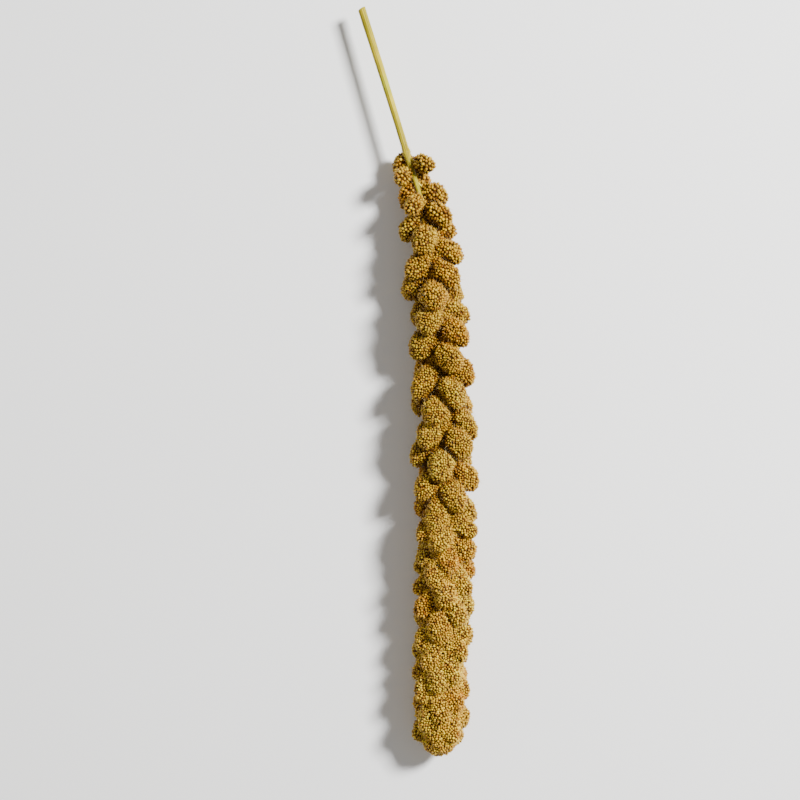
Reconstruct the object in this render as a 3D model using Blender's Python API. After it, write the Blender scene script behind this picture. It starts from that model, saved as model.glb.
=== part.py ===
"""A foxtail millet seed head, as cut: a straw stem and the clusters of grain round it.

The head lies on its side on the plane z = 0, with the stem's cut end towards +Y and the
tip towards -Y. The origin is the middle of the part's footprint. Sizes are in metres.
"""

import bisect
import math
import random

import bmesh
import bpy
from mathutils import Vector

# The line through the middle of the stem and head, from the cut end to the tip.
SPINE = (
    Vector((-0.0319, 0.2083, 0.0130)),
    Vector((-0.0192, 0.1681, 0.0143)),
    Vector((-0.0066, 0.1269, 0.0152)),
    Vector((0.0039, 0.0898, 0.0160)),
    Vector((0.0099, 0.0444, 0.0168)),
    Vector((0.0132, -0.0107, 0.0170)),
    Vector((0.0147, -0.0657, 0.0170)),
    Vector((0.0143, -0.1207, 0.0164)),
    Vector((0.0129, -0.1702, 0.0152)),
    Vector((0.0113, -0.2090, 0.0146)),
)
SPINE_STEPS = 16

# The stem, which runs on as the rachis inside the head.
STEM_LENGTH = 0.0850
STEM_CUT_RADIUS = 0.0022
STEM_NECK_RADIUS = 0.0019
RACHIS_RADIUS = 0.0016
RACHIS_TIP_RADIUS = 0.0007
RACHIS_SHORT_OF_TIP = 0.0200
STEM_SIDES = 8
STEM_RING_GAP = 0.0140
COLLAR_HEIGHT = 0.0005
COLLAR_LENGTH = 0.0035
COLLAR_RINGS = (STEM_LENGTH - COLLAR_LENGTH, STEM_LENGTH, STEM_LENGTH + COLLAR_LENGTH)

# The head's outline: its radius where it is thickest, the shares of that radius at its base
# and at its tip, and the shares of its length over which it swells, thins and rounds off.
HEAD_RADIUS = 0.0194
BASE_SHARE = 0.70
TIP_SHARE = 0.88
BASE_STRETCH = 0.22
TIP_STRETCH = 0.42
CAP_STRETCH = 0.034

# The clusters of grain, one behind the other round the rachis, leaning towards the tip. Their
# sizes, pitches and leans, in radians, are (share of the head's length, value) pairs.
CLUSTER_LENGTH = 0.0255
CLUSTER_WIDTH = 0.0165
CLUSTER_SIZES = ((0.0, 0.56), (0.10, 0.68), (0.26, 1.0), (0.55, 1.0), (0.72, 0.84), (1.0, 0.80))
CLUSTER_PITCHES = ((0.0, 0.0036), (0.12, 0.0040), (0.50, 0.0038), (0.66, 0.0025), (1.0, 0.0021))
FIRST_CLUSTER = 0.0050
TURN_ANGLE = math.radians(137.5)
LEAN_ANGLES = ((0.0, 0.94), (0.25, 0.80), (0.60, 0.68), (1.0, 0.60))
TIP_LEAN_ANGLE = math.radians(18)
LEAST_ROOT = 0.32

# One cluster closes the head at its tip, in line with it, plumper than those round it.
TIP_WIDTH_SHARE = 1.50

# How much the clusters differ from each other, as lowest and highest shares or in radians.
SEED = 5
LENGTH_SHARES = (0.84, 1.18)
WIDTH_SHARES = (0.88, 1.12)
REACH_SHARES = (0.94, 1.04)
PITCH_SHARES = (0.8, 1.2)
TURN_SCATTER = 0.18
LEAN_SCATTER = 0.07

# Near the base the upper side is bare, and the rachis shows there.
BARE_LENGTH = 0.0280
BARE_ANGLE = math.radians(48)

# Each cluster's surface is knobs of grain, larger than life: rings of high and low points.
KNOBS_AROUND = 5
KNOB_RINGS = tuple(math.radians(angle) for angle in (30, 62, 98))
KNOB_HEIGHT = 0.12

# The core that the clusters stand out of, round the channel for the rachis. At the base it is
# slimmer and lies lower, so that the rachis shows in a groove along its top.
CORE_SHARES = ((0.0, 0.22), (0.16, 0.42), (0.50, 0.46), (0.70, 0.60), (0.95, 0.70), (1.0, 0.50))
CORE_DROP = 0.0048
CORE_LEVEL = 0.16
CORE_START = 0.002
CORE_END = 0.972
CORE_SIDES = 8
CORE_RING_GAP = 0.0150
CHANNEL_GAP = 0.0003

STRAW = (0.60, 0.52, 0.25)
STRAW_ROUGHNESS = 0.6
GOLD = (0.52, 0.33, 0.08)
GOLD_ROUGHNESS = 0.55
SMOOTH_BELOW = math.radians(50)


class Spine:
    """The smooth curve through the spine's points, measured from the cut end."""

    def __init__(self, points):
        padded = [points[0] * 2 - points[1], *points, points[-1] * 2 - points[-2]]
        self.points = []
        for before, start, end, after in zip(padded, padded[1:], padded[2:], padded[3:]):
            for step in range(SPINE_STEPS):
                self.points.append(catmull_rom(before, start, end, after, step / SPINE_STEPS))
        self.points.append(points[-1].copy())
        self.reach = [0.0]
        for start, end in zip(self.points, self.points[1:]):
            self.reach.append(self.reach[-1] + (end - start).length)
        self.length = self.reach[-1]

    def place(self, distance):
        """The point at that distance, and the directions along, to the side and up there."""
        index = min(max(bisect.bisect_right(self.reach, distance), 1), len(self.reach) - 1)
        start, end = self.points[index - 1], self.points[index]
        share = (distance - self.reach[index - 1]) / (self.reach[index] - self.reach[index - 1])
        along = (end - start).normalized()
        side = along.cross(Vector((0, 0, 1))).normalized()
        return start.lerp(end, share), along, side, side.cross(along)


def catmull_rom(before, start, end, after, share):
    slope_in, slope_out = (end - before) / 2, (after - start) / 2
    square, cube = share**2, share**3
    return (
        start * (2 * cube - 3 * square + 1)
        + slope_in * (cube - 2 * square + share)
        + end * (3 * square - 2 * cube)
        + slope_out * (cube - square)
    )


def between(table, share):
    """The value at that share of the head, from (share, value) pairs in order."""
    for (low, first), (high, second) in zip(table, table[1:]):
        if share <= high:
            return first + (second - first) * (share - low) / (high - low)
    return table[-1][1]


def smooth(share):
    share = min(max(share, 0.0), 1.0)
    return share * share * (3 - 2 * share)


def head_radius(share):
    """How far the clusters reach from the spine at that share of the head's length."""
    base = BASE_SHARE + (1 - BASE_SHARE) * smooth(share / BASE_STRETCH)
    tip = 1 - (1 - TIP_SHARE) * smooth((share - 1 + TIP_STRETCH) / TIP_STRETCH)
    cap = math.sqrt(1 - max(0.0, 1 - (1 - share) / CAP_STRETCH) ** 2)
    return HEAD_RADIUS * base * tip * cap


def core_drop(share):
    """How far below the spine the core's middle lies at that share of the head's length."""
    return CORE_DROP * (1 - smooth(share / CORE_LEVEL))


def clusters(spine):
    """(middle, root, length, width) of each cluster, along the head in a spiral."""
    draw = random.Random(SEED)
    head_length = spine.length - STEM_LENGTH
    distance = FIRST_CLUSTER
    turn = 0.0
    while True:
        share = distance / head_length
        size = between(CLUSTER_SIZES, share)
        length = CLUSTER_LENGTH * size * draw.uniform(*LENGTH_SHARES)
        width = CLUSTER_WIDTH * size * draw.uniform(*WIDTH_SHARES)
        turn += TURN_ANGLE + draw.gauss(0, TURN_SCATTER)
        if head_length - distance < length / 2:
            point, along, _, _ = spine.place(spine.length - length / 2)
            yield point, point - along * length, length, width * TIP_WIDTH_SHARE
            break
        closing = smooth((share - 1 + 2 * CAP_STRETCH) / (2 * CAP_STRETCH))
        lean = between(LEAN_ANGLES, share)
        lean += (TIP_LEAN_ANGLE - lean) * closing + draw.gauss(0, LEAN_SCATTER)
        point, along, side, up = spine.place(STEM_LENGTH + distance)
        outward = up * math.cos(turn) + side * math.sin(turn)
        reach = math.hypot(length / 2 * math.sin(lean), width / 2 * math.cos(lean))
        out = max(0.0, head_radius(share) * draw.uniform(*REACH_SHARES) - reach)
        back = max(out / math.tan(lean), length * LEAST_ROOT)
        if distance > BARE_LENGTH or math.cos(turn) < math.cos(BARE_ANGLE):
            root = point - along * back - up * core_drop(share)
            yield point + outward * out, root, length, width
        distance += between(CLUSTER_PITCHES, share) * draw.uniform(*PITCH_SHARES)


def cluster_mesh(name, middle, root, length, width):
    """One cluster as an egg on its root, whose rings of points are high and low by turns."""
    direction = (middle - root).normalized()
    side = direction.orthogonal().normalized()
    third = direction.cross(side)
    mesh = bmesh.new()
    around = 2 * KNOBS_AROUND
    rings = []
    for ring, polar in enumerate(KNOB_RINGS):
        points = []
        for step in range(around):
            azimuth = 2 * math.pi * step / around
            height = 1 - KNOB_HEIGHT * ((ring + step) % 2)
            across = (side * math.cos(azimuth) + third * math.sin(azimuth)) * math.sin(polar)
            offset = direction * (length / 2 * math.cos(polar)) + across * (width / 2)
            points.append(mesh.verts.new(middle + offset * height))
        rings.append(points)
    for upper, lower in zip(rings, rings[1:]):
        for step in range(around):
            following = (step + 1) % around
            mesh.faces.new((upper[step], lower[step], lower[following], upper[following]))
    for ring, end in ((rings[0], middle + direction * (length / 2)), (rings[-1], root)):
        pole = mesh.verts.new(end)
        for step in range(around):
            mesh.faces.new((pole, ring[step], ring[(step + 1) % around]))
    bmesh.ops.recalc_face_normals(mesh, faces=mesh.faces)
    split_along_valleys(mesh, middle)
    return finished(name, mesh)


def split_along_valleys(mesh, middle):
    """Cuts each four-sided face between its two lower points, so that the high ones stand up."""
    for face in [face for face in mesh.faces if len(face.verts) == 4]:
        first, second, third, fourth = face.verts
        high = (first.co - middle).length + (third.co - middle).length
        low = (second.co - middle).length + (fourth.co - middle).length
        pair = (first, third) if high < low else (second, fourth)
        bmesh.utils.face_split(face, *pair)


def tube(name, spine, start, end, radius_at, sides, ring_gap, extra=(), drop_at=None):
    """A closed tube along the spine, with its radius and its drop below it at a distance.

    Its rings are evenly spaced, with further rings at the extra distances.
    """
    count = round((end - start) / ring_gap)
    even = [start + (end - start) * ring / count for ring in range(count + 1)]
    places = sorted([*extra, *even])
    mesh = bmesh.new()
    rings = []
    for distance in places:
        point, _, side, up = spine.place(distance)
        radius = radius_at(distance)
        if drop_at:
            point = point - up * drop_at(distance)
        ring = []
        for step in range(sides):
            angle = 2 * math.pi * step / sides
            outward = side * math.cos(angle) + up * math.sin(angle)
            ring.append(mesh.verts.new(point + outward * radius))
        rings.append(ring)
    for first, second in zip(rings, rings[1:]):
        for step in range(sides):
            following = (step + 1) % sides
            mesh.faces.new((first[step], first[following], second[following], second[step]))
    mesh.faces.new(rings[0])
    mesh.faces.new(rings[-1])
    bmesh.ops.recalc_face_normals(mesh, faces=mesh.faces)
    return finished(name, mesh)


def finished(name, mesh):
    data = bpy.data.meshes.new(name)
    mesh.to_mesh(data)
    mesh.free()
    thing = bpy.data.objects.new(name, data)
    bpy.context.scene.collection.objects.link(thing)
    return thing


def stem_radius(spine):
    """The stem's radius at a distance: it thins to the neck, then up the rachis to its end."""
    rachis_end = spine.length - RACHIS_SHORT_OF_TIP

    def radius_at(distance):
        if distance <= STEM_LENGTH:
            share = distance / STEM_LENGTH
            radius = STEM_CUT_RADIUS + (STEM_NECK_RADIUS - STEM_CUT_RADIUS) * share
        else:
            share = (distance - STEM_LENGTH) / (rachis_end - STEM_LENGTH)
            radius = RACHIS_RADIUS + (RACHIS_TIP_RADIUS - RACHIS_RADIUS) * share
        collar = max(0.0, 1 - abs(distance - STEM_LENGTH) / COLLAR_LENGTH)
        return radius + COLLAR_HEIGHT * collar

    return radius_at


def material(name, colour, roughness):
    made = bpy.data.materials.new(name)
    made.use_nodes = True
    shader = made.node_tree.nodes["Principled BSDF"]
    shader.inputs["Base Color"].default_value = (*colour, 1)
    shader.inputs["Roughness"].default_value = roughness
    shader.inputs["Metallic"].default_value = 0
    return made


def apply_boolean(thing, operation, other=None, group=None):
    """Joins or cuts with an object or with every object of a collection, and removes them."""
    modifier = thing.modifiers.new("join_or_cut", "BOOLEAN")
    modifier.operation = operation
    modifier.operand_type = "COLLECTION" if group else "OBJECT"
    if group:
        modifier.collection = group
    else:
        modifier.object = other
    graph = bpy.context.evaluated_depsgraph_get()
    made = bpy.data.meshes.new_from_object(thing.evaluated_get(graph))
    thing.modifiers.clear()
    thing.data = made
    for used in list(group.objects) if group else [other]:
        bpy.data.objects.remove(used)


def make_stem(spine, radius_at):
    end = spine.length - RACHIS_SHORT_OF_TIP
    stem = tube("stem", spine, 0.0, end, radius_at, STEM_SIDES, STEM_RING_GAP, COLLAR_RINGS)
    stem.data.materials.append(material("straw", STRAW, STRAW_ROUGHNESS))
    stem.data.shade_smooth()
    stem.data.set_sharp_from_angle(angle=SMOOTH_BELOW)


def make_head(spine, radius_at):
    head_length = spine.length - STEM_LENGTH

    def core_radius(distance):
        share = (distance - STEM_LENGTH) / head_length
        return between(CORE_SHARES, share) * head_radius(share)

    def core_drop_at(distance):
        return core_drop((distance - STEM_LENGTH) / head_length)

    start = STEM_LENGTH + CORE_START * head_length
    end = STEM_LENGTH + CORE_END * head_length
    head = tube(
        "seed_head", spine, start, end, core_radius, CORE_SIDES, CORE_RING_GAP, drop_at=core_drop_at
    )
    group = bpy.data.collections.new("clusters")
    bpy.context.scene.collection.children.link(group)
    for number, cluster in enumerate(clusters(spine)):
        thing = cluster_mesh(f"cluster_{number}", *cluster)
        bpy.context.scene.collection.objects.unlink(thing)
        group.objects.link(thing)
    apply_boolean(head, "UNION", group=group)
    bpy.data.collections.remove(group)

    def channel_radius(distance):
        return radius_at(distance) + CHANNEL_GAP

    end = spine.length - RACHIS_SHORT_OF_TIP + CHANNEL_GAP
    channel = tube("channel", spine, 0.0, end, channel_radius, STEM_SIDES, STEM_RING_GAP, COLLAR_RINGS)
    apply_boolean(head, "DIFFERENCE", other=channel)
    apply_boolean(head, "DIFFERENCE", other=ground_block(spine.length))
    head.data.materials.clear()
    head.data.materials.append(material("gold_grain", GOLD, GOLD_ROUGHNESS))


def ground_block(size):
    """The ground below z = 0, which flattens the clusters that the head rests on."""
    mesh = bmesh.new()
    bmesh.ops.create_cube(mesh, size=size)
    bmesh.ops.translate(mesh, verts=mesh.verts, vec=(0, 0, -size / 2))
    return finished("ground", mesh)


def main():
    for thing in list(bpy.data.objects):
        bpy.data.objects.remove(thing)
    spine = Spine(SPINE)
    radius_at = stem_radius(spine)
    make_stem(spine, radius_at)
    make_head(spine, radius_at)


main()
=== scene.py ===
"""A dried foxtail millet seed head on a pale floor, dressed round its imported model.

The sections follow the head as it grew: the stalk, the clusters, the branchlets that hold them,
the grain, the bristles between the grain and the hairs of the rachis. The studio comes last.
Sizes are in metres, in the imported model's frame.
"""

import bisect
import math
import random

import bmesh
import bpy
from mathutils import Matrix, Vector, kdtree, noise
from mathutils.bvhtree import BVHTree


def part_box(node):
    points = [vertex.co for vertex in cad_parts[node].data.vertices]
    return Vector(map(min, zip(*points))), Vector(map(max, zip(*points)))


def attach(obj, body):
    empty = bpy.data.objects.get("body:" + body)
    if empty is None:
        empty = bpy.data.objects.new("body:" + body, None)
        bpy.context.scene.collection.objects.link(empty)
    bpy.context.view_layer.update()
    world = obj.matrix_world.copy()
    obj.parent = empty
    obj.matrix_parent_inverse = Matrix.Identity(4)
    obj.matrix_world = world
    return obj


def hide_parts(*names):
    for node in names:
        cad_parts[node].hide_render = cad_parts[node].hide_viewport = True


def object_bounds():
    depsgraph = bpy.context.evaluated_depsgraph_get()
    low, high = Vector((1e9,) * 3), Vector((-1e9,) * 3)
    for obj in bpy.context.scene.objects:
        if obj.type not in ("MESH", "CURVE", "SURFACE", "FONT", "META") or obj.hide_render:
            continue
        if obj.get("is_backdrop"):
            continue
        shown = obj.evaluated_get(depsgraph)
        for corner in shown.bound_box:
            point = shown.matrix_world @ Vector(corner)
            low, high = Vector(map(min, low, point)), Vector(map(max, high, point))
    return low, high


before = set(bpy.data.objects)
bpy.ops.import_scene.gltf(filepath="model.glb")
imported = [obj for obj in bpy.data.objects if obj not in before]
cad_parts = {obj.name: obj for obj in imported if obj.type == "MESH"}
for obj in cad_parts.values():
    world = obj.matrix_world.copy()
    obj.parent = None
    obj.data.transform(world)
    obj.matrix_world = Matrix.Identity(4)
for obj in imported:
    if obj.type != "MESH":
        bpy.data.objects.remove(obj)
cad_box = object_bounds()


# The stalk: one dry straw, finely ribbed, a little greener halfway along its bare stretch. It
# grew in one piece, swells at the neck and runs on inside the head as the thinner rachis. The
# weight of the grain bent it, and the whole head is set out along its middle line.
SPINE = (
    Vector((-0.0319, 0.2083, 0.0130)),
    Vector((-0.0192, 0.1681, 0.0143)),
    Vector((-0.0066, 0.1269, 0.0152)),
    Vector((0.0039, 0.0898, 0.0160)),
    Vector((0.0099, 0.0444, 0.0168)),
    Vector((0.0132, -0.0107, 0.0170)),
    Vector((0.0147, -0.0657, 0.0170)),
    Vector((0.0143, -0.1207, 0.0164)),
    Vector((0.0129, -0.1702, 0.0152)),
    Vector((0.0113, -0.2090, 0.0146)),
)
SPINE_STEPS = 16
STEM_LENGTH = 0.0850
STEM_CUT_RADIUS = 0.0022
STEM_NECK_RADIUS = 0.0019
RACHIS_RADIUS = 0.0016
RACHIS_TIP_RADIUS = 0.0007
RACHIS_SHORT_OF_TIP = 0.0200
COLLAR_HEIGHT = 0.0005
COLLAR_LENGTH = 0.0035
STALK_SIDES = 48
STALK_RIBS = 12
RIB_SHARE = 0.035
UNEVEN_SHARE = 0.03
UNEVEN_LENGTH = 0.006
TWIST_PER_METRE = 5.0
BARE_RING_GAP = 0.0011
HIDDEN_RING_GAP = 0.0060
BARE_REACH = 0.1500
UV_LENGTH = 0.1
CUT_SLANT = 0.25
SLANT_REACH = 0.006
CUT_RINGS = ((0.92, -0.00008, 0.4), (0.62, 0.00005, 1.0), (0.496, 0.0005, 1.0))
STRAW_TONES = (
    (0.30, (0.15, 0.100, 0.005)),
    (0.42, (0.32, 0.245, 0.010)),
    (0.55, (0.45, 0.355, 0.012)),
    (0.72, (0.56, 0.450, 0.022)),
)
STRAW_STAIN = (0.70, 0.74, 0.50)
GREENER_TONE = (0.36, 0.38, 0.015)
GREENER_STRETCH = ((0.37, 0.0), (0.44, 0.7), (0.53, 0.0))
PITH_TONE = (0.70, 0.60, 0.34)
STRAW_GLINT = (1.0, 0.88, 0.40)
STREAK_SCALES = (34.0, 3.0, 1.0)


class Spine:
    """The smooth curve through the spine's points, measured from the cut end."""

    def __init__(self, points):
        padded = [points[0] * 2 - points[1], *points, points[-1] * 2 - points[-2]]
        self.points = []
        for before, start, end, after in zip(padded, padded[1:], padded[2:], padded[3:]):
            for step in range(SPINE_STEPS):
                self.points.append(catmull_rom(before, start, end, after, step / SPINE_STEPS))
        self.points.append(points[-1].copy())
        self.reach = [0.0]
        for start, end in zip(self.points, self.points[1:]):
            self.reach.append(self.reach[-1] + (end - start).length)
        self.length = self.reach[-1]

    def place(self, distance):
        """The point at that distance, and the directions along, to the side and up there."""
        index = min(max(bisect.bisect_right(self.reach, distance), 1), len(self.reach) - 1)
        start, end = self.points[index - 1], self.points[index]
        share = (distance - self.reach[index - 1]) / (self.reach[index] - self.reach[index - 1])
        along = (end - start).normalized()
        side = along.cross(Vector((0, 0, 1))).normalized()
        return start.lerp(end, share), along, side, side.cross(along)


def catmull_rom(before, start, end, after, share):
    """The point at that share of the smooth curve from start to end."""
    slope_in, slope_out = (end - before) / 2, (after - start) / 2
    square, cube = share**2, share**3
    return (
        start * (2 * cube - 3 * square + 1)
        + slope_in * (cube - 2 * square + share)
        + end * (3 * square - 2 * cube)
        + slope_out * (cube - square)
    )


def stalk_radius(distance):
    """The stalk's radius at a distance: it thins to the neck, then along the rachis."""
    if distance <= STEM_LENGTH:
        share = distance / STEM_LENGTH
        radius = STEM_CUT_RADIUS + (STEM_NECK_RADIUS - STEM_CUT_RADIUS) * share
    else:
        share = (distance - STEM_LENGTH) / (rachis_end - STEM_LENGTH)
        radius = RACHIS_RADIUS + (RACHIS_TIP_RADIUS - RACHIS_RADIUS) * share
    collar = math.exp(-(((distance - STEM_LENGTH) / COLLAR_LENGTH) ** 2) * 2)
    return radius + COLLAR_HEIGHT * collar


def add_object(name, mesh):
    """A new object at the origin from a bmesh, shaded smooth."""
    data = bpy.data.meshes.new(name)
    mesh.to_mesh(data)
    mesh.free()
    data.shade_smooth()
    thing = bpy.data.objects.new(name, data)
    bpy.context.scene.collection.objects.link(thing)
    return thing


def stalk_mesh():
    """The ribbed stalk with its slanted cut end. Its UV map runs round it and along it."""
    mesh = bmesh.new()
    uv = mesh.loops.layers.uv.new("stalk")
    pith = mesh.verts.layers.float.new("pith")
    distances = [ring * BARE_RING_GAP for ring in range(round(BARE_REACH / BARE_RING_GAP))]
    while distances[-1] < rachis_end - HIDDEN_RING_GAP:
        distances.append(distances[-1] + HIDDEN_RING_GAP)
    rings = []
    for distance in distances:
        point, along, side, up = spine.place(distance)
        ring = []
        for step in range(STALK_SIDES):
            angle = 2 * math.pi * step / STALK_SIDES
            rib = RIB_SHARE * math.cos(STALK_RIBS * angle + TWIST_PER_METRE * distance)
            round_it = Vector((math.cos(angle), math.sin(angle), distance / UNEVEN_LENGTH))
            uneven = UNEVEN_SHARE * noise.noise(round_it)
            radius = stalk_radius(distance) * (1 - RIB_SHARE + rib + uneven)
            place = point + (side * math.cos(angle) + up * math.sin(angle)) * radius
            slant = max(0.0, 1 - distance / SLANT_REACH) * CUT_SLANT * radius * math.cos(angle)
            ring.append(mesh.verts.new(place + along * slant))
        rings.append(ring)
    for number, (first, second) in enumerate(zip(rings, rings[1:])):
        for step in range(STALK_SIDES):
            following = (step + 1) % STALK_SIDES
            face = mesh.faces.new((first[step], first[following], second[following], second[step]))
            around = (step, step + 1, step + 1, step)
            for loop, turn, row in zip(face.loops, around, (0, 0, 1, 1)):
                loop[uv].uv = (turn / STALK_SIDES, distances[number + row] / UV_LENGTH)
    point, along, _, _ = spine.place(0)
    rim = rings[0]
    for share, depth, paleness in CUT_RINGS:
        inner = [mesh.verts.new(point.lerp(vert.co, share) + along * depth) for vert in rings[0]]
        for vert in inner:
            vert[pith] = paleness
        for step in range(STALK_SIDES):
            following = (step + 1) % STALK_SIDES
            mesh.faces.new((rim[following], rim[step], inner[step], inner[following]))
        rim = inner
    mesh.faces.new(rim[::-1])
    mesh.faces.new(rings[-1])
    bmesh.ops.recalc_face_normals(mesh, faces=mesh.faces)
    return mesh


def add_node(tree, kind, settings=None, inputs=None):
    """Adds a node. An input is given a value, or a socket to take its value from."""
    made = tree.nodes.new(kind)
    for name, value in (settings or {}).items():
        setattr(made, name, value)
    for name, value in (inputs or {}).items():
        if isinstance(value, bpy.types.NodeSocket):
            tree.links.new(value, made.inputs[name])
        else:
            made.inputs[name].default_value = value
    return made


def colour_ramp(tree, factor, stops):
    """A colour ramp with (position, colour) stops."""
    ramp = add_node(tree, "ShaderNodeValToRGB", inputs={"Fac": factor})
    elements = ramp.color_ramp.elements
    while len(elements) < len(stops):
        elements.new(1.0)
    for element, (position, colour) in zip(elements, stops):
        element.position = position
        element.color = (*colour, 1)
    return ramp.outputs["Color"]


def mix(tree, factor, first, second, blend="MIX"):
    """Mixes two colours. Each is a socket or a colour, and the factor a socket or a number."""
    second = second if isinstance(second, bpy.types.NodeSocket) else (*second, 1)
    first = first if isinstance(first, bpy.types.NodeSocket) else (*first, 1)
    settings = {"data_type": "RGBA", "blend_type": blend}
    made = add_node(tree, "ShaderNodeMix", settings, {0: factor, 6: first, 7: second})
    return made.outputs[2]


def attribute(tree, name):
    """The value of a mesh attribute."""
    return add_node(tree, "ShaderNodeAttribute", {"attribute_name": name}).outputs["Fac"]


def clouds(tree, vector, scale, detail=2.0, roughness=0.5):
    """A soft random pattern's value, at that scale in clouds a unit of the vector."""
    inputs = {"Vector": vector, "Scale": scale, "Detail": detail, "Roughness": roughness}
    return add_node(tree, "ShaderNodeTexNoise", inputs=inputs).outputs["Fac"]


def new_material(name):
    """A new material, its tree and shader, and the place on the head that it is asked for."""
    made = bpy.data.materials.new(name)
    made.use_nodes = True
    tree = made.node_tree
    place = add_node(tree, "ShaderNodeTexCoord").outputs["Object"]
    return made, tree, tree.nodes["Principled BSDF"], place


def dress(tree, shader, colour, roughness, gloss=0.5, glint=(1.0, 1.0, 1.0)):
    """Gives the shader its colour, its roughness, and the strength and colour of its glints."""
    tree.links.new(colour, shader.inputs["Base Color"])
    shader.inputs["Roughness"].default_value = roughness
    shader.inputs["Specular IOR Level"].default_value = gloss
    shader.inputs["Specular Tint"].default_value = (*glint, 1.0)


def roughen(tree, shader, height, strength, depth):
    """Gives the shader a fine relief of that height pattern, over a depth in metres."""
    inputs = {"Height": height, "Strength": strength, "Distance": depth}
    bump = add_node(tree, "ShaderNodeBump", inputs=inputs)
    tree.links.new(bump.outputs["Normal"], shader.inputs["Normal"])


def mottle_group():
    """Soft blotches of age and damp, which every dry part of the plant has."""
    group = bpy.data.node_groups.new("dry_mottle", "ShaderNodeTree")
    face = group.interface
    face.new_socket(name="Vector", in_out="INPUT", socket_type="NodeSocketVector")
    face.new_socket(name="Scale", in_out="INPUT", socket_type="NodeSocketFloat")
    face.new_socket(name="Sharpness", in_out="INPUT", socket_type="NodeSocketFloat")
    face.new_socket(name="Mask", in_out="OUTPUT", socket_type="NodeSocketFloat")
    into = group.nodes.new("NodeGroupInput").outputs
    blotches = clouds(group, into["Vector"], into["Scale"], detail=3.0, roughness=0.6)
    centred = add_node(group, "ShaderNodeMath", {"operation": "SUBTRACT"}, {0: blotches, 1: 0.5})
    sharper = add_node(
        group,
        "ShaderNodeMath",
        {"operation": "MULTIPLY_ADD", "use_clamp": True},
        {0: centred.outputs[0], 1: into["Sharpness"], 2: 0.5},
    )
    out = group.nodes.new("NodeGroupOutput")
    group.links.new(sharper.outputs[0], out.inputs["Mask"])
    return group


def mottled(tree, vector, scale, sharpness):
    """The mottle's mask at that scale, in blotches a metre."""
    inputs = {"Vector": vector, "Scale": scale, "Sharpness": sharpness}
    made = add_node(tree, "ShaderNodeGroup", {"node_tree": dry_mottle}, inputs)
    return made.outputs["Mask"]


def straw_material():
    """Yellow straw in long streaks, stained in places, with pale pith in the cut end."""
    made, tree, shader, place = new_material("straw")
    along = add_node(tree, "ShaderNodeUVMap", {"uv_map": "stalk"}).outputs["UV"]
    stretched = add_node(tree, "ShaderNodeMapping", inputs={0: along, "Scale": STREAK_SCALES})
    streaks = clouds(tree, stretched.outputs[0], scale=1.0, detail=4.0)
    colour = colour_ramp(tree, streaks, STRAW_TONES)
    stained = mottled(tree, place, scale=60.0, sharpness=5.0)
    colour = mix(tree, stained, colour, STRAW_STAIN, "MULTIPLY")
    length = add_node(tree, "ShaderNodeSeparateXYZ", inputs={0: along}).outputs["Y"]
    stops = [(reach, (share, share, share)) for reach, share in GREENER_STRETCH]
    colour = mix(tree, colour_ramp(tree, length, stops), colour, GREENER_TONE)
    colour = mix(tree, attribute(tree, "pith"), colour, PITH_TONE)
    dress(tree, shader, colour, roughness=0.46, gloss=0.24, glint=STRAW_GLINT)
    roughen(tree, shader, streaks, strength=0.35, depth=0.0002)
    return made


spine = Spine(SPINE)
rachis_end = spine.length - RACHIS_SHORT_OF_TIP
head_length = spine.length - STEM_LENGTH
dry_mottle = mottle_group()
straw = straw_material()
stalk = add_object("stalk", stalk_mesh())
stalk.data.materials.append(straw)
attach(stalk, "root")
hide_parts("stem")


# The clusters: rounded heads of grain on short branchlets, one after the other round the
# rachis, leaning to the tip. Each grows from its own root, and where they crowd they press
# into one mass. This skin is the husks' ground, which shows only between the grains: their
# brown, darkened to near black as painted shade.
HEAD_RADIUS = 0.0194
BASE_SHARE = 0.70
TIP_SHARE = 0.88
BASE_STRETCH = 0.22
TIP_STRETCH = 0.42
CAP_STRETCH = 0.034
CLUSTER_LENGTH = 0.0255
CLUSTER_WIDTH = 0.0165
CLUSTER_SIZES = ((0.0, 0.56), (0.10, 0.68), (0.26, 1.0), (0.55, 1.0), (0.72, 0.84), (1.0, 0.80))
CLUSTER_PITCHES = ((0.0, 0.0036), (0.12, 0.0040), (0.50, 0.0038), (0.66, 0.0025), (1.0, 0.0021))
FIRST_CLUSTER = 0.0050
TURN_ANGLE = math.radians(137.5)
LEAN_ANGLES = ((0.0, 0.94), (0.25, 0.80), (0.60, 0.68), (1.0, 0.60))
TIP_LEAN_ANGLE = math.radians(18)
LEAST_ROOT = 0.32
TIP_WIDTH_SHARE = 1.50
SEED = 5
LENGTH_SHARES = (0.84, 1.18)
WIDTH_SHARES = (0.88, 1.12)
REACH_SHARES = (0.94, 1.04)
PITCH_SHARES = (0.8, 1.2)
TURN_SCATTER = 0.18
LEAN_SCATTER = 0.07
BARE_LENGTH = 0.0280
BARE_ANGLE = math.radians(48)
CORE_SHARES = ((0.0, 0.22), (0.16, 0.42), (0.50, 0.46), (0.70, 0.60), (0.95, 0.70), (1.0, 0.50))
CORE_DROP = 0.0048
CORE_LEVEL = 0.16
CORE_START = 0.002
CORE_END = 0.972
CORE_SIDES = 16
CORE_RINGS = 60
CORE_INSET = 0.0006
SKIN_SHARE = 0.90
SKIN_WIDTH_SHARE = 0.84
SKIN_AROUND = 18
SKIN_RINGS = 10
SKIN_BACK = math.radians(112)
SKIN_VOXEL = 0.0012
TIP_SKIN_SHARE = 1.02
TIP_SKIN_WIDTH_SHARE = 0.95
MERGING_SHARES = ((0.0, 0.0), (0.50, 0.0), (0.72, 0.8), (1.0, 1.0))
MERGING_ROUNDS = 36
MERGING_STEP = 0.5
LOBE_SIZE = 0.0060
LOBE_HEIGHT = 0.0010
LOBE_TOP = 0.5
LOBE_FALL = 1.6
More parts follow.
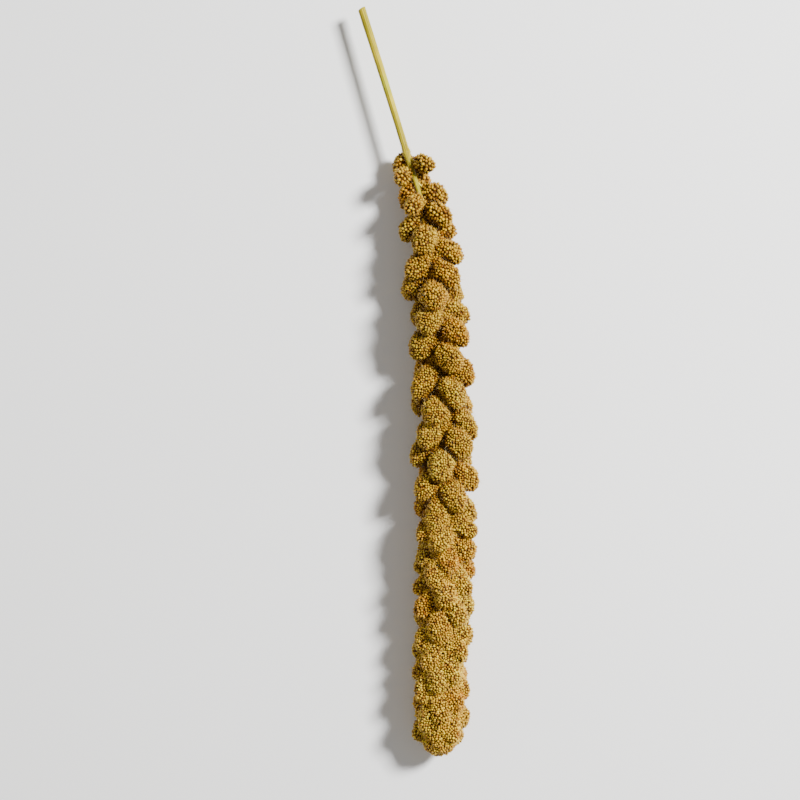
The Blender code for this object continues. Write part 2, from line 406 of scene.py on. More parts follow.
CREASE_NEIGHBOURS = 6
CREASE_DEPTHS = ((0.0, 0.0016), (0.5, 0.0018), (0.7, 0.0010), (1.0, 0.0008))
CREASE_WIDTH = 0.0024
SKIN_ABOVE_FLOOR = 0.0006
SIGHT_START = 0.0003
SIGHT_LENGTH = 0.0120
SIGHT_LINES = ((0.0, 1), (0.6, 4), (1.1, 6))
# The husks' brown, darkened to near black as painted shade between the grains.
HUSK_SHADE_TONES = ((0.2, (0.028, 0.009, 0.003)), (0.8, (0.090, 0.038, 0.008)))
HUSK_GLINT = (1.0, 0.70, 0.40)


def between(table, share):
    """The value at that share of the head, from (share, value) pairs in order."""
    for (low, first), (high, second) in zip(table, table[1:]):
        if share <= high:
            return first + (second - first) * (share - low) / (high - low)
    return table[-1][1]


def smooth(share):
    """The share, kept between 0 and 1 and eased at both ends."""
    share = min(max(share, 0.0), 1.0)
    return share * share * (3 - 2 * share)


def head_radius(share):
    """How far the clusters reach from the spine at that share of the head's length."""
    base = BASE_SHARE + (1 - BASE_SHARE) * smooth(share / BASE_STRETCH)
    tip = 1 - (1 - TIP_SHARE) * smooth((share - 1 + TIP_STRETCH) / TIP_STRETCH)
    cap = math.sqrt(1 - max(0.0, 1 - (1 - share) / CAP_STRETCH) ** 2)
    return HEAD_RADIUS * base * tip * cap


def core_drop(share):
    """How far below the spine the core's middle lies at that share of the head's length."""
    return CORE_DROP * (1 - smooth(share / CORE_LEVEL))


def clusters():
    """(distance, middle, root, length, width) of each cluster, along the head in a spiral."""
    draw = random.Random(SEED)
    distance = FIRST_CLUSTER
    turn = 0.0
    while True:
        share = distance / head_length
        size = between(CLUSTER_SIZES, share)
        length = CLUSTER_LENGTH * size * draw.uniform(*LENGTH_SHARES)
        width = CLUSTER_WIDTH * size * draw.uniform(*WIDTH_SHARES)
        turn += TURN_ANGLE + draw.gauss(0, TURN_SCATTER)
        if head_length - distance < length / 2:
            point, along, _, _ = spine.place(spine.length - length / 2)
            yield distance, point, point - along * length, length, width * TIP_WIDTH_SHARE
            break
        closing = smooth((share - 1 + 2 * CAP_STRETCH) / (2 * CAP_STRETCH))
        lean = between(LEAN_ANGLES, share)
        lean += (TIP_LEAN_ANGLE - lean) * closing + draw.gauss(0, LEAN_SCATTER)
        point, along, side, up = spine.place(STEM_LENGTH + distance)
        outward = up * math.cos(turn) + side * math.sin(turn)
        reach = math.hypot(length / 2 * math.sin(lean), width / 2 * math.cos(lean))
        out = max(0.0, head_radius(share) * draw.uniform(*REACH_SHARES) - reach)
        back = max(out / math.tan(lean), length * LEAST_ROOT)
        if distance > BARE_LENGTH or math.cos(turn) < math.cos(BARE_ANGLE):
            root = point - along * back - up * core_drop(share)
            yield distance, point + outward * out, root, length, width
        distance += between(CLUSTER_PITCHES, share) * draw.uniform(*PITCH_SHARES)


def close_rings(mesh, rings, first_end, last_end):
    """Joins rings of points into a closed body with a point at each end."""
    count = len(rings[0])
    for upper, lower in zip(rings, rings[1:]):
        for step in range(count):
            following = (step + 1) % count
            mesh.faces.new((upper[step], lower[step], lower[following], upper[following]))
    for ring, end in ((rings[0], first_end), (rings[-1], last_end)):
        pole = mesh.verts.new(end)
        for step in range(count):
            mesh.faces.new((pole, ring[step], ring[(step + 1) % count]))


def add_cluster(mesh, middle, root, length, width):
    """One cluster, as a smooth egg on its root."""
    direction = (middle - root).normalized()
    side = direction.orthogonal().normalized()
    third = direction.cross(side)
    rings = []
    for ring in range(1, SKIN_RINGS + 1):
        polar = SKIN_BACK * ring / SKIN_RINGS
        points = []
        for step in range(SKIN_AROUND):
            azimuth = 2 * math.pi * step / SKIN_AROUND
            across = (side * math.cos(azimuth) + third * math.sin(azimuth)) * math.sin(polar)
            offset = direction * (length / 2 * math.cos(polar)) + across * (width / 2)
            points.append(mesh.verts.new(middle + offset))
        rings.append(points)
    close_rings(mesh, rings, middle + direction * (length / 2), root)


def add_core(mesh):
    """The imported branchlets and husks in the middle, round the rachis."""
    rings = []
    ends = []
    for ring in range(CORE_RINGS + 1):
        share = CORE_START + (CORE_END - CORE_START) * ring / CORE_RINGS
        point, _, side, up = spine.place(STEM_LENGTH + share * head_length)
        middle = point - up * core_drop(share)
        radius = between(CORE_SHARES, share) * head_radius(share) - CORE_INSET
        points = []
        for step in range(CORE_SIDES):
            angle = 2 * math.pi * step / CORE_SIDES
            across = side * math.cos(angle) + up * math.sin(angle)
            points.append(mesh.verts.new(middle + across * radius))
        rings.append(points)
        ends.append(middle)
    close_rings(mesh, rings, ends[0], ends[-1])


def plain_copy(thing, name):
    """A plain mesh object of what a modified object looks like, in place of that object."""
    graph = bpy.context.evaluated_depsgraph_get()
    data = bpy.data.meshes.new_from_object(thing.evaluated_get(graph))
    data.name = name
    made = bpy.data.objects.new(name, data)
    bpy.context.scene.collection.objects.link(made)
    bpy.data.objects.remove(thing)
    return made


def merge_clusters(thing):
    """Smooths the skin where the clusters are crowded, most in the head's lower third."""
    merged = thing.vertex_groups.new(name="merged")
    for vert in thing.data.vertices:
        distance = grown_clusters[cluster_middles.find(vert.co)[1]][0]
        merged.add([vert.index], between(MERGING_SHARES, distance / head_length), "REPLACE")
    modifier = thing.modifiers.new("merging", "SMOOTH")
    modifier.factor = MERGING_STEP
    modifier.iterations = MERGING_ROUNDS
    modifier.vertex_group = merged.name


def crease_at(place):
    """How deep the skin is sunk there, which is deepest where two clusters meet."""
    depths = []
    for _, index, _ in cluster_middles.find_n(place, CREASE_NEIGHBOURS):
        distance, middle, root, length, width = grown_clusters[index]
        direction = (middle - root).normalized()
        offset = place - middle
        along = offset.dot(direction)
        across = (offset - direction * along).length
        depths.append((math.hypot(along / length, across / width) * 2 - 1) * width / 2)
    first, second = sorted(depths)[:2]
    deepest = between(CREASE_DEPTHS, distance / head_length)
    return deepest * (1 - smooth((second - max(first, 0.0)) / CREASE_WIDTH))


def shape_skin(data):
    """Sinks the skin between clusters, swells it into lobes and levels it above the floor."""
    normals = [vert.normal.copy() for vert in data.vertices]
    for vert, normal in zip(data.vertices, normals):
        reaches, _ = noise.voronoi(vert.co / LOBE_SIZE)
        lobe = LOBE_HEIGHT * (LOBE_TOP - LOBE_FALL * reaches[0] ** 2)
        vert.co += normal * (lobe - crease_at(vert.co))
        vert.co.z = max(vert.co.z, SKIN_ABOVE_FLOOR)
    data.update()


def mark_skin(data):
    """Marks each point of the skin with how open to the air it lies, for the grain's painted
    crevice shade, and with its cluster's own tint.
    """
    places = [vert.co.copy() for vert in data.vertices]
    around = BVHTree.FromPolygons(places, [face.vertices for face in data.polygons])
    draw = random.Random(SEED + 1)
    tints = [draw.random() for _ in grown_clusters]
    openness = data.attributes.new("openness", "FLOAT", "POINT")
    cluster_tint = data.attributes.new("cluster_tint", "FLOAT", "POINT")
    sights = []
    for tilt, count in SIGHT_LINES:
        for step in range(count):
            turn = 2 * math.pi * step / count
            level = math.sin(tilt)
            sights.append((math.cos(tilt), level * math.cos(turn), level * math.sin(turn)))
    for index, (place, vert) in enumerate(zip(places, data.vertices)):
        normal = vert.normal
        side = normal.orthogonal().normalized()
        third = normal.cross(side)
        start = place + normal * SIGHT_START
        free = 0
        for rise, along, across in sights:
            sight = normal * rise + side * along + third * across
            free += around.ray_cast(start, sight, SIGHT_LENGTH)[0] is None
        openness.data[index].value = free / len(sights)
        cluster_tint.data[index].value = tints[cluster_middles.find(place)[1]]


def husk_shade_material():
    """Dry husks' dull brown, darkened to near black as painted shade between the grains."""
    made, tree, shader, place = new_material("husk_ground")
    colour = colour_ramp(tree, mottled(tree, place, scale=900.0, sharpness=3.0), HUSK_SHADE_TONES)
    dress(tree, shader, colour, roughness=0.8, gloss=0.15, glint=HUSK_GLINT)
    return made


grown_clusters = list(clusters())
cluster_middles = kdtree.KDTree(len(grown_clusters))
for index, (_, middle, _, _, _) in enumerate(grown_clusters):
    cluster_middles.insert(middle, index)
cluster_middles.balance()
body = bmesh.new()
add_core(body)
for _, middle, root, length, width in grown_clusters[:-1]:
    add_cluster(body, middle, root, length * SKIN_SHARE, width * SKIN_WIDTH_SHARE)
_, middle, root, length, width = grown_clusters[-1]
add_cluster(body, middle, root, length * TIP_SKIN_SHARE, width * TIP_SKIN_WIDTH_SHARE)
bmesh.ops.recalc_face_normals(body, faces=body.faces)
skin = add_object("skin_draft", body)
remesh = skin.modifiers.new("one_skin", "REMESH")
remesh.mode = "VOXEL"
remesh.voxel_size = SKIN_VOXEL
remesh.use_smooth_shade = True
skin = plain_copy(skin, "merged_draft")
merge_clusters(skin)
skin = plain_copy(skin, "cluster_skin")
shape_skin(skin.data)
mark_skin(skin.data)
skin.data.materials.clear()
skin.data.materials.append(husk_shade_material())
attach(skin, "root")
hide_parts("seed_head")


# The branchlets: every cluster grows on a short straw of its own, thin as a pin, that leaves
# the rachis at a slant from a small swelling. They have the stalk's yellow and show only near
# the neck, where the clusters are loose.
BRANCHLET_RADIUS = 0.00055
BRANCHLET_END_RADIUS = 0.00040
BRANCHLET_SWELLING = 0.6
SWELLING_STRETCH = 0.22
BRANCHLET_REACH = 0.0750
BRANCHLET_SIDES = 8
BRANCHLET_RINGS = 12
BEND_PLACE = 0.4
BEND_SHARE = 0.12
LEAST_FROM_NECK = 0.001
BRANCHLET_TONES = (
    (0.15, (0.20, 0.150, 0.008)),
    (0.55, (0.45, 0.37, 0.022)),
    (0.90, (0.60, 0.50, 0.06)),
)


def branchlet_mesh():
    """A tapered, bent straw from the rachis to the middle of each cluster near the neck."""
    mesh = bmesh.new()
    for distance, end, root, _, _ in grown_clusters:
        if distance > BRANCHLET_REACH:
            break
        point, along, side, _ = spine.place(STEM_LENGTH + distance)
        from_neck = max(LEAST_FROM_NECK, distance - (point - root).dot(along))
        start = spine.place(STEM_LENGTH + from_neck)[0]
        bend = start.lerp(end, BEND_PLACE) + along * ((end - start).length * BEND_SHARE)
        rings = []
        for ring in range(BRANCHLET_RINGS + 1):
            share = ring / BRANCHLET_RINGS
            place = start.lerp(bend, share).lerp(bend.lerp(end, share), share)
            slope = (bend - start).lerp(end - bend, share).normalized()
            radius = BRANCHLET_RADIUS + (BRANCHLET_END_RADIUS - BRANCHLET_RADIUS) * share
            radius *= 1 + BRANCHLET_SWELLING * math.exp(-((share / SWELLING_STRETCH) ** 2))
            across = slope.cross(side).normalized()
            third = slope.cross(across)
            points = []
            for step in range(BRANCHLET_SIDES):
                angle = 2 * math.pi * step / BRANCHLET_SIDES
                offset = across * math.cos(angle) + third * math.sin(angle)
                points.append(mesh.verts.new(place + offset * radius))
            rings.append(points)
        close_rings(mesh, rings, start, end)
    bmesh.ops.recalc_face_normals(mesh, faces=mesh.faces)
    return mesh


def branchlet_material():
    """The stalk's straw in finer blotches, a little duller."""
    made, tree, shader, place = new_material("branchlet")
    colour = colour_ramp(tree, mottled(tree, place, scale=500.0, sharpness=2.5), BRANCHLET_TONES)
    dress(tree, shader, colour, roughness=0.55, gloss=0.30)
    roughen(tree, shader, clouds(tree, place, scale=1800.0), strength=0.3, depth=0.0001)
    return made


branchlets = add_object("branchlets", branchlet_mesh())
branchlets.data.materials.append(branchlet_material())
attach(branchlets, "root")


# The grain: small plump seeds, golden with a few orange or olive ones, each stuck in its
# husk with its end out. They cover every cluster side by side, about one and a half
# millimetres apart, larger near the neck, and pressed level where the head lies on them.
GRAIN_LENGTH = 0.00200
GRAIN_WIDTH = 0.00150
GRAIN_SIDES = 8
GRAIN_RINGS = ((0.25, 0.80, 0.8), (-0.15, 1.0, 0.25))
BARED_ABOVE = 0.4
GRAIN_RISES = (-0.00005, 0.00050)
GRAIN_GAP = 0.00110
GRAIN_PITCH = 0.00144
GRAIN_DENSITY = 7.0e6
SEATING_ROUNDS = 4
SEATING_PUSH = 0.45
GRAIN_TILT = 0.45
GRAIN_SIZES = (0.76, 1.22)
GRAIN_SWELLINGS = (1.0, 1.0, 1.0, 1.0, 1.03, 1.12, 1.30)
RACHIS_CLEARANCE = 0.0008
END_MARGIN = 0.002
LOWEST_CORNER = (-1.0, -1.0, 0.0)
GRAIN_TONES = (
    (0.00, (0.21, 0.080, 0.012)),
    (0.22, (0.34, 0.174, 0.020)),
    (0.60, (0.45, 0.274, 0.026)),
    (0.86, (0.57, 0.378, 0.032)),
    (1.00, (0.69, 0.510, 0.048)),
)
CLUSTER_TINTS = ((0.0, (0.94, 0.74, 0.55)), (0.3, (1.0, 0.96, 0.9)), (1.0, (0.95, 1.03, 1.1)))
# The grain darker and more orange near the neck, lighter and paler towards the tip.
TINT_SHIFT_FROM = 0.030
TINT_SHIFT_TO = -0.170
NECK_TO_TIP_TINTS = ((0.76, 0.705, 0.76), (1.08, 1.10, 1.45))
ORANGE_TINT = (1.0, 0.92, 0.75)
OLIVE_TONE = (0.34, 0.275, 0.04)
OLIVE_SHARE = 0.30
# Each seed darkened towards its root as painted shade between the seeds, and lightened beyond its
# own colour at its free end as a painted highlight.
BARED_SHADE_AND_HIGHLIGHT = (
    (0.0, (0.08, 0.025, 0.010)),
    (0.3, (0.44, 0.27, 0.22)),
    (0.8, (0.98, 0.94, 0.86)),
    (1.0, (1.32, 1.38, 0.62)),
)
# Painted shade: the grain darkened where the skin is least open, in the crevices between clusters.
PAINTED_CREVICE_SHADE = (
    (0.26, (0.035, 0.009, 0.006)),
    (0.50, (0.55, 0.38, 0.32)),
    (0.74, (1.0, 1.0, 1.0)),
)
GRAIN_GLINT = (1.0, 0.72, 0.10)


def grain_pattern():
    """One seed: an oval, plumper towards its root, with a blunt free end."""
    mesh = bmesh.new()
    bared = mesh.verts.layers.float.new("bared")
    rings = []
    for number, (height, share, bare) in enumerate(GRAIN_RINGS):
        points = []
        for step in range(GRAIN_SIDES):
            angle = 2 * math.pi * (step + number / 2) / GRAIN_SIDES
            across = Vector((math.cos(angle), math.sin(angle), 0)) * (GRAIN_WIDTH / 2 * share)
            points.append(mesh.verts.new(across + Vector((0, 0, GRAIN_LENGTH * height))))
            points[-1][bared] = bare
        rings.append(points)
    close_rings(mesh, rings, (0, 0, GRAIN_LENGTH / 2), (0, 0, -GRAIN_LENGTH / 2))
    for vert in mesh.verts:
        if vert.co.z > GRAIN_LENGTH * BARED_ABOVE:
            vert[bared] = 1.0
    bmesh.ops.recalc_face_normals(mesh, faces=mesh.faces)
    return add_object("grain_pattern", mesh)


def new_growth(name, sockets):
    """A Geometry Nodes tree with those named inputs: (name, socket type) pairs."""
    tree = bpy.data.node_groups.new(name, "GeometryNodeTree")
    tree.interface.new_socket(name="Geometry", in_out="INPUT", socket_type="NodeSocketGeometry")
    for socket_name, kind in sockets:
        tree.interface.new_socket(name=socket_name, in_out="INPUT", socket_type=kind)
    tree.interface.new_socket(name="Geometry", in_out="OUTPUT", socket_type="NodeSocketGeometry")
    return tree, tree.nodes.new("NodeGroupInput").outputs


def compared(tree, operation, first, second):
    """Whether the first value is greater or less than the second."""
    made = add_node(tree, "FunctionNodeCompare", {"operation": operation}, {0: first, 1: second})
    return made.outputs[0]


def both(tree, first, second):
    """Whether both are true."""
    made = add_node(tree, "FunctionNodeBooleanMath", inputs={0: first, 1: second})
    return made.outputs[0]


def vector_maths(tree, operation, inputs):
    """A node that works on vectors, with its inputs by number."""
    return add_node(tree, "ShaderNodeVectorMath", {"operation": operation}, inputs)


def random_value(tree, low, high, seed):
    """A random number for each point, or a random triple where low is a triple."""
    triple = isinstance(low, tuple)
    settings = {"data_type": "FLOAT_VECTOR" if triple else "FLOAT"}
    first = 0 if triple else 2
    inputs = {first: low, first + 1: high, "Seed": seed}
    made = add_node(tree, "FunctionNodeRandomValue", settings, inputs)
    return made.outputs[0 if triple else 1]


def outward_rotation(tree, ground, tilt, seed):
    """A rotation for each point, out from the ground's surface with a random tilt and turn."""
    normal = add_node(tree, "GeometryNodeInputNormal").outputs[0]
    sampled = add_node(
        tree,
        "GeometryNodeSampleNearestSurface",
        {"data_type": "FLOAT_VECTOR"},
        {"Mesh": ground, "Value": normal},
    )
    aligned = add_node(
        tree, "FunctionNodeAlignRotationToVector", {"axis": "Z"}, {"Vector": sampled.outputs[0]}
    )
    scattered = random_value(tree, (-tilt, -tilt, -math.pi), (tilt, tilt, math.pi), seed)
    turn = add_node(tree, "FunctionNodeEulerToRotation", inputs={0: scattered})
    inputs = {"Rotation": aligned.outputs[0], "Rotate By": turn.outputs[0]}
    made = add_node(tree, "FunctionNodeRotateRotation", {"rotation_space": "LOCAL"}, inputs)
    return made.outputs[0]


def seated(tree, points, ground, pitch, rounds):
    """The points after rounds of edging each away from its nearest neighbour on the ground."""
    start = tree.nodes.new("GeometryNodeRepeatInput")
    end = tree.nodes.new("GeometryNodeRepeatOutput")
    start.pair_with_output(end)
    tree.links.new(points, start.inputs["Geometry"])
    tree.links.new(rounds, start.inputs["Iterations"])
    place = add_node(tree, "GeometryNodeInputPosition").outputs[0]
    nearest = add_node(tree, "GeometryNodeIndexOfNearest").outputs["Index"]
    inputs = {"Value": place, "Index": nearest}
    other = add_node(tree, "GeometryNodeFieldAtIndex", {"data_type": "FLOAT_VECTOR"}, inputs)
    away = vector_maths(tree, "SUBTRACT", {0: place, 1: other.outputs[0]}).outputs[0]
    gap = vector_maths(tree, "LENGTH", {0: away}).outputs["Value"]
    short = add_node(tree, "ShaderNodeMath", {"operation": "SUBTRACT"}, {0: pitch, 1: gap})
    least = add_node(
        tree, "ShaderNodeMath", {"operation": "MAXIMUM"}, {0: short.outputs[0], 1: 0.0}
    )
    push = add_node(
        tree, "ShaderNodeMath", {"operation": "MULTIPLY"}, {0: least.outputs[0], 1: SEATING_PUSH}
    )
    direction = vector_maths(tree, "NORMALIZE", {0: away}).outputs[0]
    offset = vector_maths(tree, "SCALE", {0: direction, "Scale": push.outputs[0]}).outputs[0]
    inputs = {"Geometry": start.outputs["Geometry"], "Offset": offset}
    moved = add_node(tree, "GeometryNodeSetPosition", inputs=inputs)
    on_ground = add_node(tree, "GeometryNodeProximity", inputs={0: ground}).outputs["Position"]
    inputs = {"Geometry": moved.outputs[0], "Position": on_ground}
    settled = add_node(tree, "GeometryNodeSetPosition", inputs=inputs)
    tree.links.new(settled.outputs[0], end.inputs["Geometry"])
    return end.outputs["Geometry"]


def finish_growth(tree, instances, attribute, seed, material):
    """Gives each instance a random tint, makes all one mesh above the floor, and finishes it."""
    inputs = {"Geometry": instances, "Name": attribute, "Value": random_value(tree, 0.0, 1.0, seed)}
    settings = {"data_type": "FLOAT", "domain": "INSTANCE"}
    tinted = add_node(tree, "GeometryNodeStoreNamedAttribute", settings, inputs)
    solid = add_node(
        tree, "GeometryNodeRealizeInstances", inputs={"Geometry": tinted.outputs[0]}
    )
    place = add_node(tree, "GeometryNodeInputPosition").outputs[0]
    lifted = vector_maths(tree, "MAXIMUM", {0: place, 1: LOWEST_CORNER}).outputs[0]
    inputs = {"Geometry": solid.outputs[0], "Position": lifted}
    level = add_node(tree, "GeometryNodeSetPosition", inputs=inputs)
    inputs = {"Geometry": level.outputs[0], "Material": material}
    finished = add_node(tree, "GeometryNodeSetMaterial", inputs=inputs)
    out = tree.nodes.new("NodeGroupOutput")
    tree.links.new(finished.outputs[0], out.inputs[0])


def grain_growth(material):
    """Seeds set evenly over the skin, in the stretch of the head between two values of Y."""
    sockets = (
        ("Grain", "NodeSocketObject"),
        ("Rachis", "NodeSocketObject"),
        ("Gap", "NodeSocketFloat"),
        ("Pitch", "NodeSocketFloat"),
        ("Swelling", "NodeSocketFloat"),
        ("Rounds", "NodeSocketInt"),
        ("From", "NodeSocketFloat"),
        ("To", "NodeSocketFloat"),
    )
    tree, given = new_growth("grain_growth", sockets)
    skin_mesh = given["Geometry"]
    inputs = {"Mesh": skin_mesh, "Distance Min": given["Gap"], "Density Max": GRAIN_DENSITY}
    settings = {"distribute_method": "POISSON"}
    points = add_node(tree, "GeometryNodeDistributePointsOnFaces", settings, inputs)
    seats = seated(tree, points.outputs["Points"], skin_mesh, given["Pitch"], given["Rounds"])
    place = add_node(tree, "GeometryNodeInputPosition").outputs[0]
    parts = add_node(tree, "ShaderNodeSeparateXYZ", inputs={0: place})
    over = compared(tree, "GREATER_EQUAL", parts.outputs["Y"], given["From"])
    under = compared(tree, "LESS_THAN", parts.outputs["Y"], given["To"])
    rachis = add_node(tree, "GeometryNodeObjectInfo", inputs={"Object": given["Rachis"]})
    near = add_node(tree, "GeometryNodeProximity", inputs={0: rachis.outputs["Geometry"]})
    clear = compared(tree, "GREATER_THAN", near.outputs["Distance"], RACHIS_CLEARANCE)
    pattern = add_node(tree, "GeometryNodeObjectInfo", inputs={"Object": given["Grain"]})
    size = random_value(tree, *GRAIN_SIZES, seed=7)
    sized = add_node(
        tree, "ShaderNodeMath", {"operation": "MULTIPLY"}, {0: size, 1: given["Swelling"]}
    )
    seeds = add_node(
        tree,
        "GeometryNodeInstanceOnPoints",
        inputs={
            "Points": seats,
            "Selection": both(tree, both(tree, over, under), clear),
            "Instance": pattern.outputs["Geometry"],
            "Rotation": outward_rotation(tree, skin_mesh, GRAIN_TILT, seed=5),
            "Scale": sized.outputs[0],
        },
    )
    least, most = GRAIN_RISES
    rise = random_value(tree, (0.0, 0.0, least), (0.0, 0.0, most), seed=19)
    inputs = {"Instances": seeds.outputs[0], "Translation": rise}
    raised = add_node(tree, "GeometryNodeTranslateInstances", inputs=inputs)
    finish_growth(tree, raised.outputs[0], "grain_tint", 9, material)
    return tree


def grow(name, ground, tree, **values):
    """A plain mesh object of what the tree makes on the ground, with those named inputs."""
    draft = bpy.data.objects.new("growth_draft", ground)
    bpy.context.scene.collection.objects.link(draft)
    modifier = draft.modifiers.new("growth", "NODES")
    modifier.node_group = tree
    items = [item for item in tree.interface.items_tree if item.in_out == "INPUT"]
    names = {item.name.replace(" ", "_"): item.identifier for item in items}
    for key, value in values.items():
        modifier[names[key]] = value
    made = plain_copy(draft, name)
    kept = tree.nodes["Set Material"].inputs["Material"].default_value
    made.data.materials.clear()
    made.data.materials.append(kept)
    return made


def grain_material():
    """Satin gold, each seed with a tint of its own, darker and more orange near the neck, with
    painted shade at its root and in the crevices and a painted highlight on its free end.
    """
    made, tree, shader, place = new_material("gold_grain")
    colour = colour_ramp(tree, attribute(tree, "grain_tint"), GRAIN_TONES)
    own = colour_ramp(tree, attribute(tree, "cluster_tint"), CLUSTER_TINTS)
    colour = mix(tree, 1.0, colour, own, "MULTIPLY")
    along = add_node(tree, "ShaderNodeSeparateXYZ", inputs={0: place}).outputs["Y"]
    inputs = {"Value": along, "From Min": TINT_SHIFT_FROM, "From Max": TINT_SHIFT_TO}
    toward_tip = add_node(tree, "ShaderNodeMapRange", inputs=inputs).outputs["Result"]
    neck_to_tip_tint = mix(tree, toward_tip, *NECK_TO_TIP_TINTS)
    colour = mix(tree, 1.0, colour, neck_to_tip_tint, "MULTIPLY")
    orange = mottled(tree, place, scale=130.0, sharpness=4.0)
    colour = mix(tree, orange, colour, ORANGE_TINT, "MULTIPLY")
    olive = mottled(tree, place, scale=260.0, sharpness=8.0)
    rare = add_node(tree, "ShaderNodeMath", {"operation": "MULTIPLY"}, {0: olive, 1: OLIVE_SHARE})
    colour = mix(tree, rare.outputs[0], colour, OLIVE_TONE)
    # Painted shade at each seed's root and a painted highlight on its free end.
    bared = colour_ramp(tree, attribute(tree, "bared"), BARED_SHADE_AND_HIGHLIGHT)
    colour = mix(tree, 1.0, colour, bared, "MULTIPLY")
    # Painted shade in the crevices, from how open the skin is there.
    shade = colour_ramp(tree, attribute(tree, "openness"), PAINTED_CREVICE_SHADE)
    colour = mix(tree, 1.0, colour, shade, "MULTIPLY")
    dress(tree, shader, colour, roughness=0.28, gloss=0.42, glint=GRAIN_GLINT)
    roughen(tree, shader, clouds(tree, place, scale=2600.0), strength=0.25, depth=0.0001)
    return made


gold = grain_material()
seed_pattern = grain_pattern()
growth = grain_growth(gold)
low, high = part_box("seed_head")
stretch = (high[1] - low[1] + 2 * END_MARGIN) / len(GRAIN_SWELLINGS)
for section, swelling in enumerate(GRAIN_SWELLINGS):
    start = low[1] - END_MARGIN + stretch * section
    seeds = grow(
        f"grain_{section + 1}",
        skin.data,
        growth,
        Grain=seed_pattern,
        Rachis=stalk,
        Gap=GRAIN_GAP * swelling,
        Pitch=GRAIN_PITCH * swelling,
        Swelling=swelling,
        Rounds=SEATING_ROUNDS,
        From=start,
        To=start + stretch,
    )
    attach(seeds, "root")
    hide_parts("seed_head")
bpy.data.objects.remove(seed_pattern)


# The bristles: stiff fine hairs that grow out of the husks between the seeds, bent a little,
# some paler than others. They stand out past the grain and give the head its soft edge.
BRISTLE_LENGTH = 0.0036
BRISTLE_RADIUS = 0.000045
BRISTLE_BEND = 0.0005
BRISTLE_DENSITY = 0.19e6
BRISTLE_TILT = 0.65
BRISTLE_SIZES = (0.6, 1.25)
BRISTLE_RINGS = ((-0.08, 1.0, 0.0), (0.5, 0.75, 0.25))
BRISTLE_ROOT = -0.1
LEAST_BRISTLE_HEIGHT = 0.0030
BRISTLE_TONES = ((0.0, (0.36, 0.22, 0.06)), (0.6, (0.60, 0.44, 0.17)), (1.0, (0.74, 0.64, 0.36)))
BRISTLE_STAIN = (0.8, 0.7, 0.5)
BEYOND_HEAD = 1.0


def bristle_pattern(name, length, radius, bend):
    """One bristle: a bent three-sided needle, rooted just below the skin."""
    mesh = bmesh.new()
    rings = []
    for height, share, bent in BRISTLE_RINGS:
        points = []
        for step in range(3):
            angle = 2 * math.pi * step / 3
            across = Vector((math.cos(angle), math.sin(angle), 0)) * (radius * share)
            middle = Vector((bend * bent, 0, length * height))
            points.append(mesh.verts.new(middle + across))
        rings.append(points)
    close_rings(mesh, rings, (0, 0, length * BRISTLE_ROOT), (bend, 0, length))
    bmesh.ops.recalc_face_normals(mesh, faces=mesh.faces)
    return add_object(name, mesh)


def bristle_growth(material):
    """Bristles scattered over a surface, in a stretch of it and not close to the floor."""
    sockets = (
        ("Bristle", "NodeSocketObject"),
        ("Density", "NodeSocketFloat"),
        ("From", "NodeSocketFloat"),
        ("To", "NodeSocketFloat"),
    )
    tree, given = new_growth("bristle_growth", sockets)
    ground = given["Geometry"]
    inputs = {"Mesh": ground, "Density": given["Density"], "Seed": 11}
    points = add_node(tree, "GeometryNodeDistributePointsOnFaces", inputs=inputs)
    place = add_node(tree, "GeometryNodeInputPosition").outputs[0]
    parts = add_node(tree, "ShaderNodeSeparateXYZ", inputs={0: place})
    high = compared(tree, "GREATER_THAN", parts.outputs["Z"], LEAST_BRISTLE_HEIGHT)
    over = compared(tree, "GREATER_EQUAL", parts.outputs["Y"], given["From"])
    under = compared(tree, "LESS_THAN", parts.outputs["Y"], given["To"])
    pattern = add_node(tree, "GeometryNodeObjectInfo", inputs={"Object": given["Bristle"]})
    bristles = add_node(
        tree,
        "GeometryNodeInstanceOnPoints",
        inputs={
            "Points": points.outputs["Points"],
            "Selection": both(tree, high, both(tree, over, under)),
            "Instance": pattern.outputs["Geometry"],
            "Rotation": outward_rotation(tree, ground, BRISTLE_TILT, seed=13),
            "Scale": random_value(tree, *BRISTLE_SIZES, seed=15),
        },
    )
    finish_growth(tree, bristles.outputs[0], "bristle_tint", 17, material)
    return tree


def bristle_material():
    """Pale straw, each bristle with a tint of its own, browner where it is stained."""
    made, tree, shader, place = new_material("bristle")
    colour = colour_ramp(tree, attribute(tree, "bristle_tint"), BRISTLE_TONES)
    stained = mottled(tree, place, scale=300.0, sharpness=4.0)
    colour = mix(tree, stained, colour, BRISTLE_STAIN, "MULTIPLY")
    dress(tree, shader, colour, roughness=0.5)
    return made


needle = bristle_pattern("bristle_pattern", BRISTLE_LENGTH, BRISTLE_RADIUS, BRISTLE_BEND)
growth = bristle_growth(bristle_material())
bristles = grow(
    "bristles",
    skin.data,
    growth,
    Bristle=needle,
    Density=BRISTLE_DENSITY,
    From=-BEYOND_HEAD,
    To=BEYOND_HEAD,
)
bpy.data.objects.remove(needle)
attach(bristles, "root")


# The hairs of the rachis: short, soft and pale, they grow on the stalk itself, from just above
# the neck down to where the clusters cover it.
HAIR_LENGTH = 0.0012
HAIR_RADIUS = 0.000028
HAIR_BEND = 0.00025
HAIR_DENSITY = 1.6e6
HAIR_ABOVE_NECK = 0.0060
HAIR_BELOW_NECK = 0.0560

hair = bristle_pattern("hair_pattern", HAIR_LENGTH, HAIR_RADIUS, HAIR_BEND)
neck = spine.place(STEM_LENGTH)[0].y
hairs = grow(
    "rachis_hairs",
    stalk.data,
    growth,
    Bristle=hair,
    Density=HAIR_DENSITY,
    From=neck - HAIR_BELOW_NECK,
    To=neck + HAIR_ABOVE_NECK,
)
bpy.data.objects.remove(hair)
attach(hairs, "root")


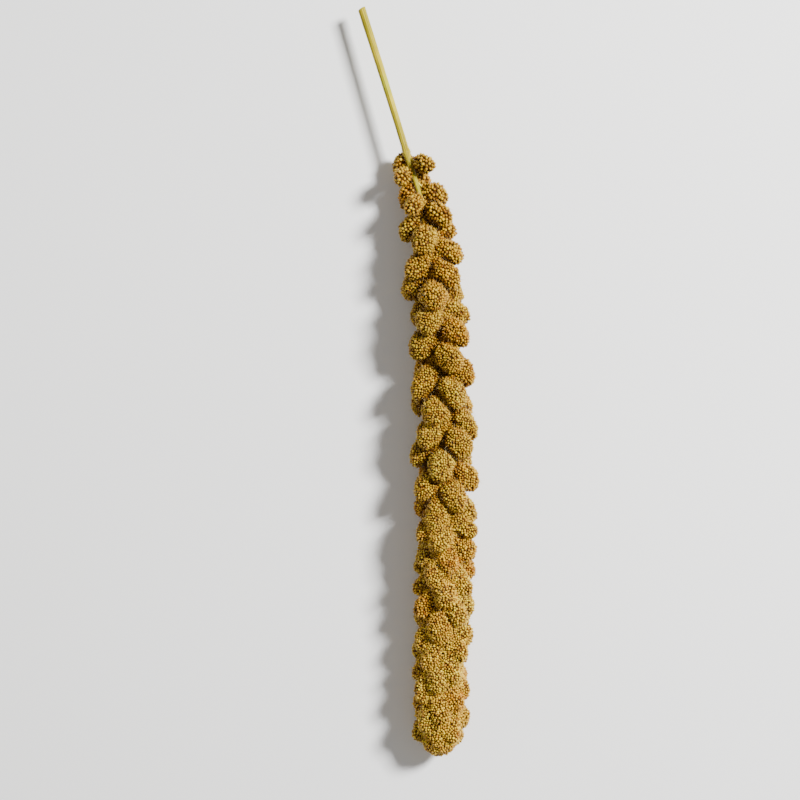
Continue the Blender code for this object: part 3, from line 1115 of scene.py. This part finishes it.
# The studio: a plain pale floor, a soft light from the upper right, a weak warm one low on
# the left, and the camera straight above, which sees the head as one does when it hangs.
FLOOR_SIZE = 24.0
FLOOR_TONES = ((0.0, (0.89, 0.89, 0.88)), (1.0, (0.93, 0.93, 0.92)))
WHITE = (1.0, 1.0, 1.0)
WARM_WHITE = (1.0, 0.90, 0.78)
SKY_STRENGTH = 0.27
VIEW_MIDDLE = Vector((-0.0104, -0.01065, 0.0170))
VIEW_WIDTH = 0.446
LENS = 85.0
SENSOR = 36.0


def floor_material():
    made, tree, shader, place = new_material("pale_floor")
    colour = colour_ramp(tree, mottled(tree, place, scale=3.0, sharpness=1.5), FLOOR_TONES)
    dress(tree, shader, colour, roughness=0.9)
    return made


def soft_light(name, place, size, power, colour):
    """A square area light that faces the head."""
    lamp = bpy.data.lights.new(name, "AREA")
    lamp.color = colour
    lamp.size = size
    lamp.energy = power
    thing = bpy.data.objects.new(name, lamp)
    thing.location = place
    thing.rotation_euler = (-Vector(place)).to_track_quat("-Z", "Y").to_euler()
    bpy.context.scene.collection.objects.link(thing)


ground = bmesh.new()
bmesh.ops.create_grid(ground, x_segments=1, y_segments=1, size=FLOOR_SIZE / 2)
floor = add_object("pale_floor", ground)
floor.data.materials.append(floor_material())
floor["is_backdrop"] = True

soft_light("key_light", place=(1.20, 0.64, 1.25), size=0.38, power=113.0, colour=WHITE)
soft_light("fill_light", place=(-1.35, -0.10, 0.45), size=1.2, power=6.0, colour=WARM_WHITE)
world = bpy.data.worlds.new("studio")
world.use_nodes = True
sky = world.node_tree.nodes["Background"]
sky.inputs["Color"].default_value = (*WHITE, 1.0)
sky.inputs["Strength"].default_value = SKY_STRENGTH
bpy.context.scene.world = world

camera_data = bpy.data.cameras.new("camera")
camera_data.lens = LENS
camera_data.sensor_width = SENSOR
camera = bpy.data.objects.new("camera", camera_data)
camera.location = VIEW_MIDDLE + Vector((0, 0, VIEW_WIDTH * LENS / SENSOR))
bpy.context.scene.collection.objects.link(camera)
bpy.context.scene.camera = camera

boxes = {"cad": cad_box, "visual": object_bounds()}
{name: [list(corner) for corner in box] for name, box in boxes.items()}
